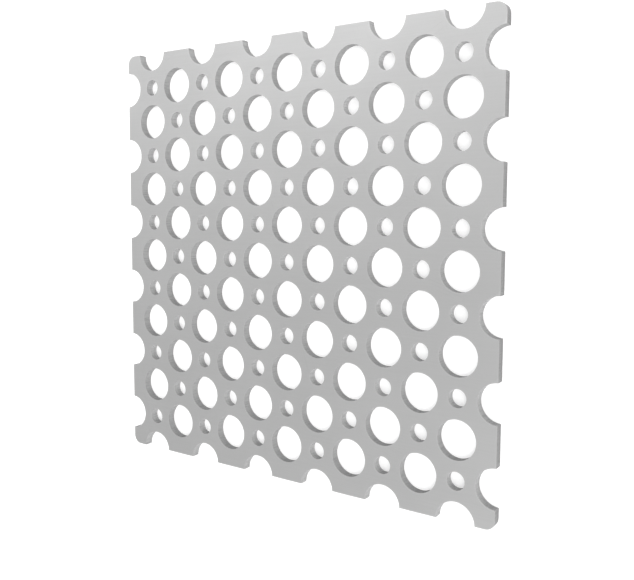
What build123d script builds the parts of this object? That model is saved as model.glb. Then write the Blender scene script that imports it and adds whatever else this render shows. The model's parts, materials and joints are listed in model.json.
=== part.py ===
"""Perforated metal sheet.

One square sheet of metal.  Along every row, large and small round holes take turns, and each row
starts one hole later than the row before, as the two colours do on a chessboard.  The outer rows of
large holes lie on the edges of the sheet, so only half of each is there: a half-round notch.  The
edges stay whole between the notches, and the four corners are rounded.

The sheet lies flat.  Its length runs along X, its width along Y and its thickness up along Z, and
the origin is the middle of its underside.
"""

import os

from build123d import *

# Driving dimensions, in millimetres
pitch = 25.0  # from one large hole to the next large one in the same row
pitches_long = 6  # pitches from end to end of the sheet
pitches_wide = 6  # pitches from side to side of the sheet
thickness = 3.0
large_hole_diameter = 12.4
small_hole_diameter = 5.7
corner_radius = 3.1

# The edges run through the middles of the outer large holes
sheet_length = pitches_long * pitch
sheet_width = pitches_wide * pitch


def punch(diameter, count_long, count_wide):
    """Punches a grid of round holes, one pitch apart and centred on the sheet."""
    with GridLocations(pitch, pitch, count_long, count_wide):
        Circle(diameter / 2, mode=Mode.SUBTRACT)


def punch_large_holes():
    """The large holes make two grids, each in the gaps of the other.

    One grid has its outer rows on the sides of the sheet, and the other has its outer columns on
    the ends, where half of each hole is left as a notch.
    """
    punch(large_hole_diameter, pitches_long, pitches_wide + 1)
    punch(large_hole_diameter, pitches_long + 1, pitches_wide)


def punch_small_holes():
    """The small holes also make two grids, and each hole lies between four large ones.

    No small hole lies on an edge.
    """
    punch(small_hole_diameter, pitches_long, pitches_wide)
    punch(small_hole_diameter, pitches_long - 1, pitches_wide - 1)


with BuildPart() as perforated_sheet:
    with BuildSketch():
        RectangleRounded(sheet_length, sheet_width, corner_radius)
        punch_large_holes()
        punch_small_holes()
    extrude(amount=thickness)

perforated_sheet.part.label = "perforated_sheet"

os.makedirs("parts", exist_ok=True)
export_step(perforated_sheet.part, "parts/perforated_sheet.step")
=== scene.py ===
"""Perforated metal sheet: the sheet with its cut edges and its metal finish, and the stage that it lies on.

The skin of the sheet is built from cells that lie side by side like tiles.  Every large hole sits in an
eight-sided cell and every small hole in a square one, and the half cells along the sides of the sheet
carry the half-round notches.  In each cell the skin runs from the border of the cell, over the top face,
round the rim and down the cut wall, and back along the underside to the same border.
"""

import json
import math

import bmesh
import bpy
import numpy as np
from bpy.props import FloatProperty, FloatVectorProperty, IntProperty, PointerProperty
from mathutils import Matrix, Vector


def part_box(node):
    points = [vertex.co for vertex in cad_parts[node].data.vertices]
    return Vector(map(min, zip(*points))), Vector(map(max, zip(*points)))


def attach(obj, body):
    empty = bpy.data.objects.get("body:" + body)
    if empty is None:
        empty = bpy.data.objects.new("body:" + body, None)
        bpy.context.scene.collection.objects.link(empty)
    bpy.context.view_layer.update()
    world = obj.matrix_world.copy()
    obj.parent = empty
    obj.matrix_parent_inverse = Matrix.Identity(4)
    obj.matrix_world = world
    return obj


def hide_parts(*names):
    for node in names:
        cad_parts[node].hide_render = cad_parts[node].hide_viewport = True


bl_info = {
    "name": "Perforated Metal Sheet",
    "version": (1, 0, 0),
    "blender": (4, 5, 0),
    "location": "3D View > Sidebar > Perforated Sheet",
    "description": "Makes a perforated metal sheet, its finish and the stage that it lies on",
    "category": "Add Mesh",
}

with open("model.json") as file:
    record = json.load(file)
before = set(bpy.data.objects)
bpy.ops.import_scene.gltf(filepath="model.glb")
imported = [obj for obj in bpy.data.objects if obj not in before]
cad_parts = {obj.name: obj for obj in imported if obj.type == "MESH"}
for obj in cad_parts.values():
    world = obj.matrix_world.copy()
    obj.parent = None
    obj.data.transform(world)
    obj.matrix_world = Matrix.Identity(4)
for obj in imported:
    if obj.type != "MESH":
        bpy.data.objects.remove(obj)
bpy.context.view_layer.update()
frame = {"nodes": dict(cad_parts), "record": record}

SHEET_NODE = "perforated_sheet"
SHEET_BODY = "root"
MILLIMETRE = 0.001
HAIR = 1e-6  # points nearer to each other than this are one point, in metres
LARGE_PUNCH, SMALL_PUNCH, TRIMMED = "large_punch", "small_punch", "trimmed"  # how an edge was cut
RIM_DISTANCE = "rim_distance"  # how far a point of a face lies from the nearest cut edge, in metres
SNUG_AND_UNSHADED = "snugness"  # 1 where a hole's wall was cut snugly, with the punch close to its die, and gets no painted shade, 0 opposite, where its painted shade is fullest
SNUG_AND_UNSHADED_SIDE = math.radians(-30)  # azimuth from +X that the snugly cut walls face; walls facing away from it get painted shade

# How finely the skin is divided.  The side of a cell is shared with its neighbour, so all cells use these.
SIDE_STEPS = 10  # along a side that a large hole's cell shares with a small hole's cell
CORNER_STEPS = 5  # along a side that two large holes' cells share
RIM_STEPS = 3  # round the rolled upper rim of a cut edge
BURR_STEPS = 2  # round the lower rim of a cut edge
SHEET_CORNER_STEPS = 8  # round a corner of the sheet


# ---------------------------------------------------------------- sizes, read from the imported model


def mount(name):
    """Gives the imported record's mount of that name."""
    return next(entry for entry in frame["record"]["mounts"] if entry["name"] == name)


def bore_diameter(name):
    """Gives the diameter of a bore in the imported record, in metres."""
    return 2 * mount(name)["dims"]["r_mm"] * MILLIMETRE


def sheet_corner_radius():
    """Gives the radius of the sheet's corners: what the straight back edge lacks of half the length."""
    _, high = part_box(SHEET_NODE)
    vertices = frame["nodes"][SHEET_NODE].data.vertices
    points = np.empty(3 * len(vertices))
    vertices.foreach_get("co", points)
    points = points.reshape(-1, 3)
    on_back_edge = points[:, 1] > high.y - HAIR
    return high.x - points[on_back_edge, 0].max()


def hole_spacing():
    """Gives the distance between neighbouring holes: a corner hole lies this far in from two edges."""
    low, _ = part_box(SHEET_NODE)
    return mount("corner_hole_front_left")["pos_m"][0] - low.x


SHEET_LOW, SHEET_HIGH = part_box(SHEET_NODE)
SHEET_SPAN = SHEET_HIGH - SHEET_LOW
SPACING = hole_spacing()


class SheetSizes(bpy.types.PropertyGroup):
    """Sizes of the sheet and of its cut edges."""

    spacing: FloatProperty(
        name="Hole spacing",
        description="From the middle of one hole to the middle of the next one in its row",
        default=SPACING,
        min=0.001,
        subtype="DISTANCE",
        unit="LENGTH",
    )
    long_count: IntProperty(
        name="Spacings along",
        description="Hole spacings from end to end of the sheet, an even number",
        default=round(SHEET_SPAN.x / SPACING),
        min=2,
    )
    wide_count: IntProperty(
        name="Spacings across",
        description="Hole spacings from side to side of the sheet, an even number",
        default=round(SHEET_SPAN.y / SPACING),
        min=2,
    )
    thickness: FloatProperty(
        name="Thickness",
        description="Thickness of the metal",
        default=SHEET_SPAN.z,
        min=0.0001,
        subtype="DISTANCE",
        unit="LENGTH",
    )
    large_diameter: FloatProperty(
        name="Large holes",
        description="Diameter of the large holes and of the notches",
        default=bore_diameter("side_hole_front"),
        min=0.0001,
        subtype="DISTANCE",
        unit="LENGTH",
    )
    small_diameter: FloatProperty(
        name="Small holes",
        description="Diameter of the small holes",
        default=bore_diameter("corner_hole_front_left"),
        min=0.0001,
        subtype="DISTANCE",
        unit="LENGTH",
    )
    corner_radius: FloatProperty(
        name="Corner radius",
        description="Radius of the four corners of the sheet",
        default=sheet_corner_radius(),
        min=0.0001,
        subtype="DISTANCE",
        unit="LENGTH",
    )
    rim_radius: FloatProperty(
        name="Upper rim",
        description="Radius that the punch leaves where it enters the metal",
        default=0.03 * MILLIMETRE,
        min=0.00001,
        subtype="DISTANCE",
        unit="LENGTH",
    )
    burr_radius: FloatProperty(
        name="Lower rim",
        description="Radius of the deburred edge where the punch leaves the metal",
        default=0.03 * MILLIMETRE,
        min=0.00001,
        subtype="DISTANCE",
        unit="LENGTH",
    )
    sheared_depth: FloatProperty(
        name="Sheared band",
        description="Depth from the top face down to which the punch cuts the metal clean before it breaks",
        default=1.1 * MILLIMETRE,
        min=0.0001,
        subtype="DISTANCE",
        unit="LENGTH",
    )
    break_flare: FloatProperty(
        name="Flare",
        description="How far the broken lower part of a cut wall leans back into the metal",
        default=0.05 * MILLIMETRE,
        min=0.0,
        subtype="DISTANCE",
        unit="LENGTH",
    )


class MetalFinish(bpy.types.PropertyGroup):
    """Colours and gloss of the metal."""

    bright_colour: FloatVectorProperty(
        name="Bright metal",
        description="Colour of the cleanest metal on the faces",
        default=(0.42, 0.42, 0.42),
        min=0.0,
        max=1.0,
        subtype="COLOR",
    )
    dull_colour: FloatVectorProperty(
        name="Dull metal",
        description="Colour of the metal where the rolled skin is cloudy",
        default=(0.385, 0.385, 0.385),
        min=0.0,
        max=1.0,
        subtype="COLOR",
    )
    burnished_colour: FloatVectorProperty(
        name="Burnished metal",
        description="Colour of the metal along the rims, where handling has polished it",
        default=(0.46, 0.46, 0.46),
        min=0.0,
        max=1.0,
        subtype="COLOR",
    )
    burnished_width: FloatProperty(
        name="Burnished width",
        description="How far the burnished metal reaches from a rim over the faces",
        default=0.5 * MILLIMETRE,
        min=0.00001,
        subtype="DISTANCE",
        unit="LENGTH",
    )
    sheared_colour: FloatVectorProperty(
        name="Sheared metal",
        description="Colour of the clean upper band of the cut walls",
        default=(0.45, 0.45, 0.45),
        min=0.0,
        max=1.0,
        subtype="COLOR",
    )
    broken_colour: FloatVectorProperty(
        name="Broken metal",
        description="Colour of the rough lower band of the cut walls",
        default=(0.46, 0.46, 0.46),
        min=0.0,
        max=1.0,
        subtype="COLOR",
    )
    # Painted light: a brighter colour on the small holes' walls, standing in for light that their narrow
    # holes let in less.
    small_hole_painted_light_colour: FloatVectorProperty(
        name="Small punch",
        description="Colour of the walls of the small holes, which their tighter punch leaves brighter",
        default=(0.66, 0.66, 0.66),
        min=0.0,
        max=1.0,
        subtype="COLOR",
    )
    # Painted shade: a darker colour on the outer edges, standing in for shade that falls on them.
    trimmed_edge_shade_colour: FloatVectorProperty(
        name="Trimmed metal",
        description="Colour of the outer edges, which are cut to size after the holes are punched",
        default=(0.27, 0.27, 0.27),
        min=0.0,
        max=1.0,
        subtype="COLOR",
    )
    # Painted shade: how much darker a hole's wall is made on the side facing away from the snug side.
    slack_side_shade: FloatProperty(
        name="Slack side",
        description="How much duller a hole's wall is on the side where its punch had the wider gap",
        default=0.62,
        min=0.0,
        max=1.0,
        subtype="FACTOR",
    )
    face_roughness: FloatProperty(
        name="Face roughness",
        description="How matt the rolled faces are",
        default=0.42,
        min=0.0,
        max=1.0,
        subtype="FACTOR",
    )
    wall_roughness: FloatProperty(
        name="Wall roughness",
        description="How matt the cut walls are",
        default=0.7,
        min=0.0,
        max=1.0,
        subtype="FACTOR",
    )


class StageLook(bpy.types.PropertyGroup):
    """Colour of the floor, and brightness of the floor, the room and the lights."""

    floor_colour: FloatVectorProperty(
        name="Floor",
        description="Colour of the floor",
        default=(0.9, 0.9, 0.9),
        min=0.0,
        max=1.0,
        subtype="COLOR",
    )
    floor_glow: FloatProperty(
        name="Floor glow",
        description="Brightness of the floor's own light, which is that of a lit table, where 1 is white",
        default=0.1,
        min=0.0,
    )
    room_brightness: FloatProperty(
        name="Room",
        description="Brightness of the pale room all round, where 1 is white",
        default=1.0,
        min=0.0,
    )
    key_brightness: FloatProperty(
        name="Key panel",
        description="Brightness of the wide light panel behind the camera, where 1 is white",
        default=1.35,
        min=0.0,
    )
    front_brightness: FloatProperty(
        name="Front panel",
        description="Brightness of the light panel in front of the sheet, where 1 is white",
        default=0.4,
        min=0.0,
    )
    left_brightness: FloatProperty(
        name="Left panel",
        description="Brightness of the light panel at the back left of the sheet, where 1 is white",
        default=0.6,
        min=0.0,
    )
    back_brightness: FloatProperty(
        name="Back panel",
        description="Brightness of the light panel behind the sheet, a little to its left, where 1 is white",
        default=1.3,
        min=0.0,
    )


# ---------------------------------------------------------------- the skin of the sheet


def walk(stops, steps):
    """Walks from stop to stop in equal steps and gives every point that is trodden on.

    Step k of a run from stop A to stop B, out of n, is at A + (B - A) k / n.
    """
    stops, steps = np.asarray(stops, float), np.asarray(steps)
    run = np.repeat(np.arange(len(steps)), steps)
    first_step = np.cumsum(steps) - steps
    share = (np.arange(steps.sum()) - first_step[run]) / steps[run]
    share = share.reshape((-1,) + (1,) * (stops.ndim - 1))
    trodden = stops[run] + share * (stops[run + 1] - stops[run])
    return np.concatenate([trodden, stops[-1:]])


def arc(centre, radius, angles):
    """Gives the points of an arc: the centre plus the radius times (cosine, sine) of each angle."""
    return np.asarray(centre) + radius * np.stack([np.cos(angles), np.sin(angles)], -1)


def at_height(points, height):
    """Gives flat points a height, the same for all of them."""
    return np.concatenate([points, np.full(points.shape[:-1] + (1,), height)], -1)


def cut_section(sizes):
    """Gives the section of a cut edge as two rows of numbers: how far it lies in the metal, and its height.

    From the top face a quarter circle rolls over into the sheared band, which is upright.  Below it the
    broken wall leans back into the metal, and a small quarter circle ends it on the underside.  A narrow
    strip next to each quarter circle keeps its shading off the rest of the wall.
    """
    rim = np.linspace(0, math.pi / 2, RIM_STEPS + 1)
    rim_inset = sizes.rim_radius * (1 - np.sin(rim))
    rim_height = sizes.thickness - sizes.rim_radius * (1 - np.cos(rim))
    burr = np.linspace(0, math.pi / 2, BURR_STEPS + 1)
    burr_inset = sizes.break_flare + sizes.burr_radius * (1 - np.cos(burr))
    burr_height = sizes.burr_radius * (1 - np.sin(burr))
    sheared_foot = sizes.thickness - sizes.sheared_depth
    rim_strip = sizes.thickness - 2 * sizes.rim_radius
    burr_strip = 2 * sizes.burr_radius
    strip_inset = sizes.break_flare * (sheared_foot - burr_strip) / (sheared_foot - sizes.burr_radius)
    inset = np.concatenate([rim_inset, [0.0, 0.0, strip_inset], burr_inset])
    height = np.concatenate([rim_height, [rim_strip, sheared_foot, burr_strip], burr_height])
    return inset, height


def with_rim_distance(rows, rim):
    """Gives points a fourth value, their distance from the points of a rim."""
    distance = np.linalg.norm(rows - rim, axis=-1, keepdims=True)
    return np.concatenate([rows, distance], -1)


def skin(top_line, cut, bottom_line, steps):
    """Wraps the metal at a cut edge in one grid of points, as rows by places along the edge.

    The first rows divide the top face evenly between the top line and the upper end of the cut, then come
    the rows of the cut itself, and the last rows divide the underside between its lower end and the
    bottom line.  The fourth value of a point is its distance over its face from the cut.
    """
    share = (np.arange(steps) / steps).reshape(-1, 1, 1)
    top_rows = top_line + share * (cut[0] - top_line)
    bottom_rows = bottom_line + share[::-1] * (cut[-1] - bottom_line)
    return np.concatenate(
        [
            with_rim_distance(top_rows, cut[0]),
            with_rim_distance(cut, cut),
            with_rim_distance(bottom_rows, cut[-1]),
        ]
    )


def cell_reach(sizes):
    """Gives the half widths of the two kinds of cell, large hole's first; together they are one spacing.

    The border between two cells lies halfway between the rims of their holes.
    """
    large_reach = (sizes.spacing + sizes.large_diameter / 2 - sizes.small_diameter / 2) / 2
    return large_reach, sizes.spacing - large_reach


def hole_skin(stops, steps, radius, sizes):
    """Gives the skin round one hole, whose cell has the given corners, with the hole at the origin.

    The rows of the cut are circles of the hole's radius plus the inset of the section.
    """
    inset, height = cut_section(sizes)
    border = walk(stops, steps)
    angles = walk(np.unwrap(np.arctan2(stops[:, 1], stops[:, 0])), steps)
    circles = [at_height(arc((0, 0), radius + depth, angles), level) for depth, level in zip(inset, height)]
    return skin(at_height(border, sizes.thickness), np.stack(circles), at_height(border, 0.0), 1)


def large_hole_skin(sizes):
    """Gives the skin round a large hole, in its eight-sided cell."""
    far, near = cell_reach(sizes)
    stops = np.array(
        [
            (far, -near), (far, near), (near, far), (-near, far), (-far, near),
            (-far, -near), (-near, -far), (near, -far), (far, -near),
        ]
    )
    return hole_skin(stops, [SIDE_STEPS, CORNER_STEPS] * 4, sizes.large_diameter / 2, sizes)


def small_hole_skin(sizes):
    """Gives the skin round a small hole, in its square cell."""
    _, near = cell_reach(sizes)
    stops = near * np.array([(1, -1), (1, 1), (-1, 1), (-1, -1), (1, -1)])
    return hole_skin(stops, [SIDE_STEPS] * 4, sizes.small_diameter / 2, sizes)


def edge_skin(top_line, line_at, bottom_line, steps, sizes):
    """Gives the skin at a stretch of the sheet's outer edge, where line_at gives the edge at an inset."""
    inset, height = cut_section(sizes)
    cut = np.stack([at_height(line_at(depth), level) for depth, level in zip(inset, height)])
    return skin(at_height(top_line, sizes.thickness), cut, at_height(bottom_line, 0.0), steps)


def notch_skin(sizes):
    """Gives the skin round a half-round notch, with the edge of the sheet along X and the metal above it.

    At an inset the notch is an arc of its radius plus that inset, which ends on the line that is as far
    in from the sheet's edge.
    """
    far, near = cell_reach(sizes)
    radius = sizes.large_diameter / 2
    half_side = SIDE_STEPS // 2
    inset, _ = cut_section(sizes)

    def border(depth):
        """Gives the outline of the cell from the line at that depth in the metal, round and back to it."""
        stops = [(-far, depth), (-far, near), (-near, far), (near, far), (far, near), (far, depth)]
        return walk(stops, [half_side, CORNER_STEPS, SIDE_STEPS, CORNER_STEPS, half_side])

    def notch_line(depth):
        """Gives the arc at an inset, cut off where its radius times the sine of its angle is the inset."""
        lip = math.asin(depth / (radius + depth))
        return arc((0, 0), radius + depth, np.linspace(math.pi - lip, lip, len(border(depth))))

    return edge_skin(border(inset[0]), notch_line, border(inset[-1]), 1, sizes)


def lip_skin(sizes):
    """Gives the cut wall of the short straight lip on the left of a notch, between its arc and its cell."""
    far, _ = cell_reach(sizes)
    radius = sizes.large_diameter / 2
    inset, height = cut_section(sizes)
    lip_end = -np.sqrt((radius + inset) ** 2 - inset**2)
    outer = np.stack([np.full_like(inset, -far), inset, height], -1)
    inner = np.stack([lip_end, inset, height], -1)
    cut = np.stack([outer, inner], 1)
    return with_rim_distance(cut, cut)


def land_skin(sizes):
    """Gives the skin of the whole metal between two notches, with the edge of the sheet along X."""
    _, near = cell_reach(sizes)

    def land_line(depth):
        """Gives the straight line from notch cell to notch cell at that depth in the metal."""
        return walk([(-near, depth), (near, depth)], [SIDE_STEPS])

    return edge_skin(land_line(near), land_line, land_line(near), SIDE_STEPS // 2, sizes)


def corner_skin(sizes):
    """Gives the skin of a corner of the sheet, with the sheet's sides along +X and +Y from the origin.

    The rows fan out from the inner corner of the cell to the two sides and the arc between them.
    """
    _, near = cell_reach(sizes)
    radius = sizes.corner_radius

    def corner_line(depth):
        """Gives the two ends at an inset and, between them, a quarter circle of the radius less the inset."""
        angles = np.linspace(math.pi, 1.5 * math.pi, SHEET_CORNER_STEPS + 1)
        rounding = arc((radius, radius), radius - depth, angles)
        return np.concatenate([[(depth, near)], rounding, [(near, depth)]])

    inner_corner = np.full((SHEET_CORNER_STEPS + 3, 2), near)
    return edge_skin(inner_corner, corner_line, inner_corner, SIDE_STEPS // 2, sizes)


def shifted(grid, places):
    """Copies a grid of points to each place, and gives all the copies as one array."""
    places = np.asarray(places, float)
    moves = np.concatenate([places, np.zeros((len(places), 2))], -1)
    return grid + moves[:, None, None, :]


def turned(grid, quarter_turns):
    """Turns points about the vertical axis by so many quarter turns, counterclockwise from above."""
    cosine, sine = [(1, 0), (0, 1), (-1, 0), (0, -1)][quarter_turns]
    x, y = grid[..., 0], grid[..., 1]
    flat = np.stack([cosine * x - sine * y, sine * x + cosine * y], -1)
    return np.concatenate([flat, grid[..., 2:]], -1)


def side_places(sizes, quarter_turns):
    """Gives the places of a side's notches, of its lands and of its left corner, as if it were the front."""
    counts = sizes.long_count, sizes.wide_count
    along, across = counts if quarter_turns % 2 == 0 else counts[::-1]
    half_along, half_across = along * sizes.spacing / 2, across * sizes.spacing / 2
    places = np.arange(along) * sizes.spacing - half_along
    front = np.stack([places, np.full_like(places, -half_across)], -1)
    return front[1::2], front[2::2], front[:1]


def to_side(skins, quarter_turns):
    """Turns skins that were built along the front to their side of the sheet.

    The holes' skins have the cut on the left of their walk and these have it on the right, so the places
    of each row are also turned round, for all faces to point outwards.
    """
    return [turned(grid[:, :, ::-1], quarter_turns) for grid in skins]


def notch_skins(sizes, quarter_turns):
    """Gives the skins round the notches of one side of the sheet."""
    notches, _, _ = side_places(sizes, quarter_turns)
    return to_side([shifted(notch_skin(sizes), notches)], quarter_turns)


def trimmed_skins(sizes, quarter_turns):
    """Gives the skins along one side of the sheet that were cut to size: corner, lips and lands."""
    notches, lands, corner = side_places(sizes, quarter_turns)
    left_lip = lip_skin(sizes)
    right_lip = left_lip[:, ::-1] * (-1, 1, 1, 1)
    skins = [
        shifted(corner_skin(sizes), corner),
        shifted(left_lip, notches),
        shifted(right_lip, notches),
        shifted(land_skin(sizes), lands),
    ]
    return to_side(skins, quarter_turns)


def hole_skins(sizes):
    """Gives the skins round all whole holes, the large ones' first.

    On the square grid of places inside the sheet, a place whose two counts add up to an odd number takes
    a large hole and the others take a small one.
    """
    column, row = np.meshgrid(np.arange(1, sizes.long_count), np.arange(1, sizes.wide_count))
    places = np.stack([column - sizes.long_count / 2, row - sizes.wide_count / 2], -1) * sizes.spacing
    takes_large = (column + row) % 2 == 1
    return [
        shifted(large_hole_skin(sizes), places[takes_large]),
        shifted(small_hole_skin(sizes), places[~takes_large]),
    ]


def grid_faces(grid, first_point):
    """Gives the four corners of every face of a stack of grids, as counts from the mesh's first point."""
    count = np.arange(grid[..., 0].size).reshape(grid.shape[:-1]) + first_point
    corners = [count[:, :-1, :-1], count[:, :-1, 1:], count[:, 1:, 1:], count[:, 1:, :-1]]
    return np.stack(corners, -1).reshape(-1, 4)


def mesh_from_skins(name, skins_by_cut):
    """Joins the skins into one closed mesh, with the points that they share made one.

    The skins come in lists, by how their edge was cut.  The mesh keeps a mark of each way on its faces,
    1 on the faces that were cut so and 0 on the others, and the rim distances on its points.
    """
    skins = [grid for group in skins_by_cut.values() for grid in group]
    points = np.concatenate([grid.reshape(-1, 4) for grid in skins])
    first_points = np.cumsum([0] + [grid[..., 0].size for grid in skins[:-1]])
    faces = np.concatenate([grid_faces(grid, first) for grid, first in zip(skins, first_points)])
    mesh = bpy.data.meshes.new(name)
    mesh.from_pydata(points[:, :3], [], faces)
    mesh.attributes.new(RIM_DISTANCE, "FLOAT", "POINT").data.foreach_set("value", points[:, 3])
    face_counts = [sum(len(grid_faces(grid, 0)) for grid in group) for group in skins_by_cut.values()]
    for mark in skins_by_cut:
        values = np.repeat([float(cut == mark) for cut in skins_by_cut], face_counts)
        mesh.attributes.new(mark, "FLOAT", "FACE").data.foreach_set("value", values)
    joined = bmesh.new()
    joined.from_mesh(mesh)
    bmesh.ops.remove_doubles(joined, verts=joined.verts, dist=HAIR)
    joined.to_mesh(mesh)
    joined.free()
    return mesh


def mark_snug_and_unshaded_side(mesh):
    """Keeps on the mesh how much each point faces the snug side, whose walls are spared the painted shade.

    It is half of the sum of one and the cosine of the angle between the point's normal and the snug side.
    """
    normals = np.empty(3 * len(mesh.vertices))
    mesh.vertices.foreach_get("normal", normals)
    reach = normals.reshape(-1, 3) @ (math.cos(SNUG_AND_UNSHADED_SIDE), math.sin(SNUG_AND_UNSHADED_SIDE), 0)
    mesh.attributes.new(SNUG_AND_UNSHADED, "FLOAT", "POINT").data.foreach_set("value", (1 + reach) / 2)


def smooth_cut_edges(mesh):
    """Shades the cut edges smooth and leaves the two faces of the sheet flat."""
    normals = np.empty(3 * len(mesh.polygons))
    mesh.polygons.foreach_get("normal", normals)
    upright = np.abs(normals[2::3])
    mesh.polygons.foreach_set("use_smooth", upright < 1 - HAIR)


# ---------------------------------------------------------------- shader maths

FIRST_COLOUR, SECOND_COLOUR, BLENDED_COLOUR = 6, 7, 2  # places of the Mix node's sockets for colours


class Wire:
    """A value in a shader.  Reckoning with it adds the Math nodes that do so."""

    def __init__(self, shader, socket):
        self.shader = shader
        self.socket = socket

    def reckon(self, operation, *values, clamp=False):
        """Adds a Math node that works out the operation on numbers or wires, and gives its result."""
        inputs = dict(enumerate(values))
        settings = {"operation": operation, "use_clamp": clamp}
        return self.shader.node("ShaderNodeMath", settings, inputs)[0]

    def __add__(self, other):
        return self.reckon("ADD", self, other)

    def __sub__(self, other):
        return self.reckon("SUBTRACT", self, other)

    def __mul__(self, other):
        return self.reckon("MULTIPLY", self, other)

    def __radd__(self, other):
        return self.reckon("ADD", other, self)

    def __rsub__(self, other):
        return self.reckon("SUBTRACT", other, self)

    def __rmul__(self, other):
        return self.reckon("MULTIPLY", other, self)

    def ramp(self, start, end):
        """Gives 0 at the start, 1 at the end and an even rise between, held to 0 and 1 outside them."""
        return self.reckon("MULTIPLY", self - start, 1 / (end - start), clamp=True)


class Shader:
    """A material and its nodes."""

    def __init__(self, name):
        self.material = bpy.data.materials.new(name)
        self.material.use_nodes = True
        self.tree = self.material.node_tree
        self.tree.nodes.clear()

    def node(self, kind, settings=None, inputs=None):
        """Adds a node, sets it up, feeds its inputs with values or wires, and gives its outputs."""
        made = self.tree.nodes.new(kind)
        for setting, value in (settings or {}).items():
            setattr(made, setting, value)
        for key, value in (inputs or {}).items():
            if isinstance(value, Wire):
                self.tree.links.new(value.socket, made.inputs[key])
            else:
                made.inputs[key].default_value = value
        return Outputs(self, made)

    def blend(self, share, first, second):
        """Blends two colours: the first where the share is 0 and the second where it is 1."""
        settings = {"data_type": "RGBA"}
        inputs = {"Factor": share, FIRST_COLOUR: first, SECOND_COLOUR: second}
        return self.node("ShaderNodeMix", settings, inputs)[BLENDED_COLOUR]

    def noise(self, place, size, stretch=(1, 1, 1), turn=0.0, detail=3.0):
        """Gives noise from 0 to 1 in spots of a size, stretched by three factors and turned about Z."""
        laid = self.node(
            "ShaderNodeMapping",
            {"vector_type": "TEXTURE"},
            {"Vector": place, "Scale": stretch, "Rotation": (0, 0, turn)},
        )
        return self.node(
            "ShaderNodeTexNoise", {}, {"Vector": laid["Vector"], "Scale": 1 / size, "Detail": detail}
        )["Fac"]

    def attribute(self, name):
        """Gives a number that the mesh keeps under that name."""
        return self.node("ShaderNodeAttribute", {"attribute_name": name})["Fac"]

    def finish(self, surface):
        """Puts the surface on the material, and gives the material."""
        self.node("ShaderNodeOutputMaterial", {}, {"Surface": surface})
        return self.material


class Outputs:
    """The outputs of a node, each given as a wire by its name or its place."""

    def __init__(self, shader, made):
        self.shader = shader
        self.made = made

    def __getitem__(self, key):
        return Wire(self.shader, self.made.outputs[key])


def opaque(colour):
    """Gives a colour with its fourth value, which is full."""
    return (*colour, 1.0)


# ---------------------------------------------------------------- the finish of the metal

# The patterns in the metal.  Each is noise in spots of a size, stretched by factors along X, Y and Z.
CLOUD_SIZE = 26 * MILLIMETRE
CLOUD_STRETCH = (1.6, 1, 1)
GRAIN_SIZE = 0.35 * MILLIMETRE
GRAIN_STRETCH = (60, 1, 1)
SCORE_SIZE = 0.25 * MILLIMETRE
SCORE_STRETCH = (1, 1, 25)
PIT_SIZE = 0.22 * MILLIMETRE
MARK_SIZE = 0.12 * MILLIMETRE
MARK_SETS = ((0.5, 150), (1.9, 110), (2.8, 190))  # each set's turn about Z in radians, and its stretch
MARK_PATCH_SIZE = 14 * MILLIMETRE  # size of the patches that have marks

# Where each pattern begins to show and where it shows in full, on its scale from 0 to 1.
DULL_RANGE = (0.3, 0.7)
SCORE_RANGE = (0.45, 0.7)
PIT_RANGE = (0.5, 0.7)
MARK_RANGE = (0.74, 0.8)
MARK_PATCH_RANGE = (0.5, 0.6)

# The walls, and the border between their sheared band and their broken one.
WALL_START = 0.2  # share of a rim's radius over which a face turns into a wall
BORDER_BLUR = 0.1 * MILLIMETRE  # how far the two bands blend above the border and below it
BORDER_RAGGEDNESS = 0.5 * MILLIMETRE  # how far the scores shift the border
SNUG_GAIN = 0.8 * MILLIMETRE  # how much deeper the border lies on the snug side than on the opposite side
BROKEN_BAND_LIGHT_LOSS = 0.2  # how much less of the small holes' painted light the broken band has
TRIMMED_SHADE_COVER = 0.8  # how much the painted shade of the trimmed edges covers on the outer edges

# How strong each part of the finish is.
DULLING = {"clouds": 0.7, "grain": 0.3}
BURNISHING = {"even": 0.4, "clouds": 0.6}
SOILING = {"scores": 0.16, "pits": 0.2, "marks": 0.12}
ROUGHENING = {"clouds": 0.06, "grain": 0.05, "scores": 0.1, "burnishing": -0.08}
RELIEF = {"grain": 0.12, "marks": -0.15, "scores": 0.5, "pits": 0.8}
RELIEF_DEPTH = 0.03 * MILLIMETRE
RELIEF_STRENGTH = 0.5
# The dark colour that the soil and the painted shade both blend towards.
SOIL_AND_SHADE_COLOUR = (0.05, 0.05, 0.05)


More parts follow.
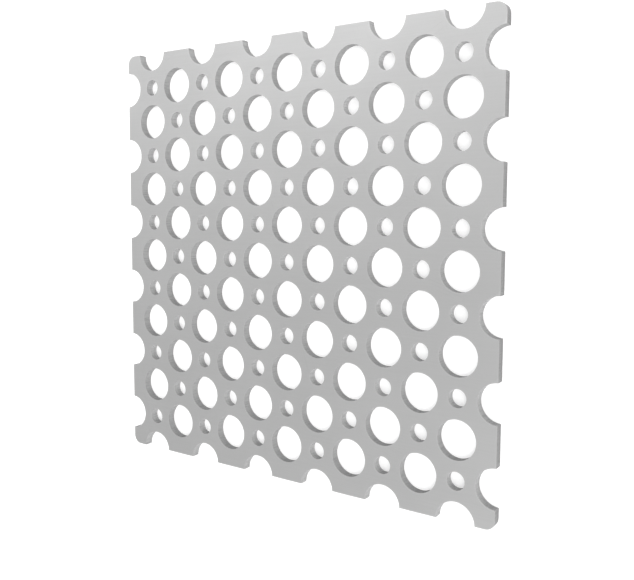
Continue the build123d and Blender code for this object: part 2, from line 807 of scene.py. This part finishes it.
def satin_metal(sizes, finish):
    """Makes the metal: rolled faces with fine grain along X, and cut walls in two bands.

    On the faces, cloudy patches and the grain of the rolls shift the colour and the gloss a little, a few
    hairline marks cross them, and the metal along the rims is burnished.  On the walls the sheared band
    is scored from top to bottom and the broken band under it is rough and pitted.  The sheared band is
    deepest on the snug side of a hole, and painted shade darkens the walls more towards the other side.
    Painted light brightens the small holes' walls, and painted shade makes the outer edges, which were
    trimmed to size, darkest.
    """
    shader = Shader("satin_metal")
    place = shader.node("ShaderNodeTexCoord")["Object"]
    height = shader.node("ShaderNodeSeparateXYZ", {}, {"Vector": place})["Z"]
    below_top = sizes.thickness - height

    clouds = shader.noise(place, CLOUD_SIZE, stretch=CLOUD_STRETCH)
    grain = shader.noise(place, GRAIN_SIZE, stretch=GRAIN_STRETCH, detail=2.0)
    scores = shader.noise(place, SCORE_SIZE, stretch=SCORE_STRETCH, detail=2.0)
    pits = shader.noise(place, PIT_SIZE, detail=4.0)
    marks = hairline_marks(shader, place)

    # Each of these is 1 where its name holds: on a wall, in its broken band, whose upper border is ragged,
    # and so on.
    wall_top = below_top.ramp(0, WALL_START * sizes.rim_radius)
    on_wall = wall_top * height.ramp(0, WALL_START * sizes.burr_radius)
    ragged = below_top + (scores - 0.5) * BORDER_RAGGEDNESS
    snugness = shader.attribute(SNUG_AND_UNSHADED)
    deepening = (snugness - 0.5) * SNUG_GAIN
    border = sizes.sheared_depth
    broken = on_wall * (ragged - deepening).ramp(border - BORDER_BLUR, border + BORDER_BLUR)
    # Painted light: the small holes' walls are made brighter, a little less in their broken band.
    small_hole_painted_light = on_wall * shader.attribute(SMALL_PUNCH) * (1 - broken * BROKEN_BAND_LIGHT_LOSS)
    trimmed = on_wall * shader.attribute(TRIMMED)
    near_rim = 1 - shader.attribute(RIM_DISTANCE).ramp(0, finish.burnished_width)
    patchy = BURNISHING["even"] + BURNISHING["clouds"] * clouds
    burnished = (1 - on_wall) * near_rim * near_rim * patchy

    dullness = (clouds * DULLING["clouds"] + grain * DULLING["grain"]).ramp(*DULL_RANGE)
    face_colour = shader.blend(dullness, opaque(finish.bright_colour), opaque(finish.dull_colour))
    worn_colour = shader.blend(burnished, face_colour, opaque(finish.burnished_colour))
    wall_colour = shader.blend(broken, opaque(finish.sheared_colour), opaque(finish.broken_colour))
    hole_painted_light_colour = shader.blend(small_hole_painted_light, wall_colour, opaque(finish.small_hole_painted_light_colour))
    # Painted shade: the outer edges are darkened.
    cut_light_and_shade_colour = shader.blend(trimmed * TRIMMED_SHADE_COVER, hole_painted_light_colour, opaque(finish.trimmed_edge_shade_colour))
    clean_colour = shader.blend(on_wall, worn_colour, cut_light_and_shade_colour)
    # Painted shade: the holes' walls are darkened towards the side facing away from the snug side; the outer
    # edges are left out.
    slack_painted_shade = (on_wall - trimmed) * (1 - snugness) * finish.slack_side_shade
    score_soil = scores.ramp(*SCORE_RANGE) * SOILING["scores"]
    pit_soil = broken * pits.ramp(*PIT_RANGE) * SOILING["pits"]
    # The soil of the scores and pits, together with the painted shade of the walls.
    soil_and_painted_shade = on_wall * (score_soil + pit_soil) + slack_painted_shade
    colour = shader.blend(soil_and_painted_shade + marks * SOILING["marks"], clean_colour, opaque(SOIL_AND_SHADE_COLOUR))

    cloud_roughness = (clouds - 0.5) * ROUGHENING["clouds"]
    grain_roughness = (grain - 0.5) * ROUGHENING["grain"]
    face_roughness = finish.face_roughness + cloud_roughness + grain_roughness
    wall_roughness = finish.wall_roughness + (scores - 0.5) * ROUGHENING["scores"]
    laid_roughness = face_roughness + on_wall * (wall_roughness - face_roughness)
    roughness = laid_roughness + burnished * ROUGHENING["burnishing"]

    face_relief = (1 - on_wall) * (grain * RELIEF["grain"] + marks * RELIEF["marks"])
    wall_relief = on_wall * (scores * RELIEF["scores"] + broken * pits * RELIEF["pits"])
    relief = {"Strength": RELIEF_STRENGTH, "Distance": RELIEF_DEPTH, "Height": face_relief + wall_relief}
    bump = shader.node("ShaderNodeBump", {}, relief)
    surface = shader.node(
        "ShaderNodeBsdfPrincipled",
        {},
        {"Base Color": colour, "Metallic": 1.0, "Roughness": roughness, "Normal": bump["Normal"]},
    )
    return shader.finish(surface["BSDF"])


def hairline_marks(shader, place):
    """Gives 1 on the hairline marks of handling: the crests of much stretched noise, laid three ways."""
    marks = 0.0
    for turn, length in MARK_SETS:
        crest = shader.noise(place, MARK_SIZE, stretch=(length, 1, 1), turn=turn, detail=0.0)
        patch = shader.noise(place, MARK_PATCH_SIZE, turn=turn)
        marks = marks + crest.ramp(*MARK_RANGE) * patch.ramp(*MARK_PATCH_RANGE)
    return marks


# ---------------------------------------------------------------- the stage

WHITE = (1.0, 1.0, 1.0)
FLOOR_ROUGHNESS = 0.9
FLOOR_SHEEN = 0.1  # how strongly it mirrors, where 0.5 is usual
FLOOR_HALF_WIDTH = 3.0  # metres
FLOOR_DROP = 0.02 * MILLIMETRE  # keeps the floor clear of the underside

# The camera looks down on the sheet from its right, at this place and aim in metres from the middle of
# the top face.
CAMERA_PLACE = Vector((0.15565, 0.01908, 0.20981))
CAMERA_AIM = Vector((0.01070, -0.00381, 0.0))
CAMERA_ROLL = math.radians(0.18)
CAMERA_LENS = 44.33  # millimetres
SENSOR_WIDTH = 36.0  # millimetres
CLIP_START = 0.01  # metres, well short of the sheet
CAMERA_SHIFT = (0.0067, -0.0233)  # shares of the picture's width

# Each light panel's azimuth from +X and height above the horizon in degrees, and its width and height in
# metres.
PANELS = {
    "key": (345, 54, 2.3, 1.2),
    "front": (270, 42, 1.2, 1.0),
    "left": (135, 42, 1.4, 0.7),
    "back": (120, 42, 0.9, 0.9),
}
PANEL_DISTANCE = 1.2  # metres from the middle of the floor


def aimed(place, aim, top, roll=0.0):
    """Gives the turn of a camera or light that looks from its place at its aim, its top edge that way."""
    ahead = (aim - place).normalized()
    right = ahead.cross(top).normalized()
    turn = Matrix((right, right.cross(ahead), -ahead)).transposed()
    return (turn @ Matrix.Rotation(roll, 3, "Z")).to_4x4()


def polar(azimuth, elevation, distance):
    """Gives a place by its azimuth from +X, its height above the horizon and its distance."""
    flat = distance * math.cos(elevation)
    return Vector((flat * math.cos(azimuth), flat * math.sin(azimuth), distance * math.sin(elevation)))


def pale_floor(look):
    """Makes the plain matt floor, which glows a little, as a lit table does.

    Its glow lights the holes from below.
    """
    shader = Shader("pale_floor")
    surface = shader.node(
        "ShaderNodeBsdfPrincipled",
        {},
        {
            "Base Color": opaque(look.floor_colour),
            "Roughness": FLOOR_ROUGHNESS,
            "Specular IOR Level": FLOOR_SHEEN,
            "Emission Color": opaque(WHITE),
            "Emission Strength": look.floor_glow,
        },
    )
    return shader.finish(surface["BSDF"])


def light_panel(name, azimuth, elevation, width, height, brightness):
    """Hangs an evenly bright panel that faces the sheet, at angles in degrees.

    An even panel that is as bright as white gives pi watts for each square metre.
    """
    light = bpy.data.lights.new(name, "AREA")
    light.shape = "RECTANGLE"
    light.size = width
    light.size_y = height
    light.energy = math.pi * width * height * brightness
    panel = bpy.data.objects.new(name, light)
    place = polar(math.radians(azimuth), math.radians(elevation), PANEL_DISTANCE)
    panel.matrix_world = Matrix.Translation(place) @ aimed(place, Vector(), Vector((0, 0, 1)))
    bpy.context.scene.collection.objects.link(panel)


def room(look):
    """Surrounds the stage with an even pale light."""
    world = bpy.data.worlds.new("pale_room")
    world.use_nodes = True
    backdrop = world.node_tree.nodes["Background"]
    backdrop.inputs["Color"].default_value = opaque(WHITE)
    backdrop.inputs["Strength"].default_value = look.room_brightness
    bpy.context.scene.world = world


def camera(sizes):
    """Puts up the camera."""
    data = bpy.data.cameras.new("camera")
    data.lens = CAMERA_LENS
    data.sensor_width = SENSOR_WIDTH
    data.shift_x, data.shift_y = CAMERA_SHIFT
    data.clip_start = CLIP_START
    holder = bpy.data.objects.new("camera", data)
    top_face = Vector((0, 0, sizes.thickness))
    turn = aimed(CAMERA_PLACE, CAMERA_AIM, Vector((0, 1, 0)), CAMERA_ROLL)
    holder.matrix_world = Matrix.Translation(CAMERA_PLACE + top_face) @ turn
    bpy.context.scene.collection.objects.link(holder)
    bpy.context.scene.camera = holder


# ---------------------------------------------------------------- operators and panel


class PERFORATED_SHEET_OT_make_sheet(bpy.types.Operator):
    """Makes the perforated sheet with its cut edges and its finish"""

    bl_idname = "perforated_sheet.make_sheet"
    bl_label = "Make Sheet"
    bl_options = {"REGISTER", "UNDO"}

    def execute(self, context):
        sizes = context.scene.sheet_sizes
        if sizes.long_count % 2 or sizes.wide_count % 2:
            raise ValueError("the sheet takes an even number of hole spacings each way")
        large_holes, small_holes = hole_skins(sizes)
        skins_by_cut = {LARGE_PUNCH: [large_holes], SMALL_PUNCH: [small_holes], TRIMMED: []}
        for quarter_turns in range(4):
            skins_by_cut[LARGE_PUNCH] += notch_skins(sizes, quarter_turns)
            skins_by_cut[TRIMMED] += trimmed_skins(sizes, quarter_turns)
        mesh = mesh_from_skins("dressed_sheet", skins_by_cut)
        mark_snug_and_unshaded_side(mesh)
        smooth_cut_edges(mesh)
        mesh.materials.append(satin_metal(sizes, context.scene.metal_finish))
        sheet = bpy.data.objects.new("dressed_sheet", mesh)
        context.scene.collection.objects.link(sheet)
        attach(sheet, SHEET_BODY)
        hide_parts(SHEET_NODE)
        return {"FINISHED"}


class PERFORATED_SHEET_OT_make_stage(bpy.types.Operator):
    """Makes the floor, the room, the lights and the camera"""

    bl_idname = "perforated_sheet.make_stage"
    bl_label = "Make Stage"
    bl_options = {"REGISTER", "UNDO"}

    def execute(self, context):
        sizes = context.scene.sheet_sizes
        look = context.scene.stage_look
        half = FLOOR_HALF_WIDTH
        mesh = bpy.data.meshes.new("floor")
        corners = [(-half, -half, 0), (half, -half, 0), (half, half, 0), (-half, half, 0)]
        mesh.from_pydata(np.array(corners) - (0, 0, FLOOR_DROP), [], [(0, 1, 2, 3)])
        mesh.materials.append(pale_floor(look))
        floor = bpy.data.objects.new("floor", mesh)
        context.scene.collection.objects.link(floor)
        room(look)
        for name, setting in PANELS.items():
            light_panel(name + "_panel", *setting, getattr(look, name + "_brightness"))
        camera(sizes)
        context.scene.view_settings.view_transform = "Standard"
        return {"FINISHED"}


class PERFORATED_SHEET_PT_maker(bpy.types.Panel):
    """Lists the sizes, the finish and the steps"""

    bl_idname = "PERFORATED_SHEET_PT_maker"
    bl_label = "Perforated Sheet"
    bl_space_type = "VIEW_3D"
    bl_region_type = "UI"
    bl_category = "Perforated Sheet"

    def draw(self, context):
        layout = self.layout
        for group in (context.scene.sheet_sizes, context.scene.metal_finish, context.scene.stage_look):
            box = layout.box()
            for name in group.bl_rna.properties.keys():
                if name not in ("rna_type", "name"):
                    box.prop(group, name)
        layout.operator(PERFORATED_SHEET_OT_make_sheet.bl_idname)
        layout.operator(PERFORATED_SHEET_OT_make_stage.bl_idname)


GROUPS = {"sheet_sizes": SheetSizes, "metal_finish": MetalFinish, "stage_look": StageLook}
STEPS = (PERFORATED_SHEET_OT_make_sheet, PERFORATED_SHEET_OT_make_stage)
CLASSES = (*GROUPS.values(), *STEPS, PERFORATED_SHEET_PT_maker)


def register():
    """Registers the classes and hangs the groups of settings on the scene."""
    for entry in CLASSES:
        bpy.utils.register_class(entry)
    for name, group in GROUPS.items():
        setattr(bpy.types.Scene, name, PointerProperty(type=group))


def unregister():
    """Undoes register."""
    for name in GROUPS:
        delattr(bpy.types.Scene, name)
    for entry in reversed(CLASSES):
        bpy.utils.unregister_class(entry)


def main():
    """Makes the sheet and then the stage."""
    register()
    bpy.ops.perforated_sheet.make_sheet()
    bpy.ops.perforated_sheet.make_stage()


if __name__ == "__main__":
    main()
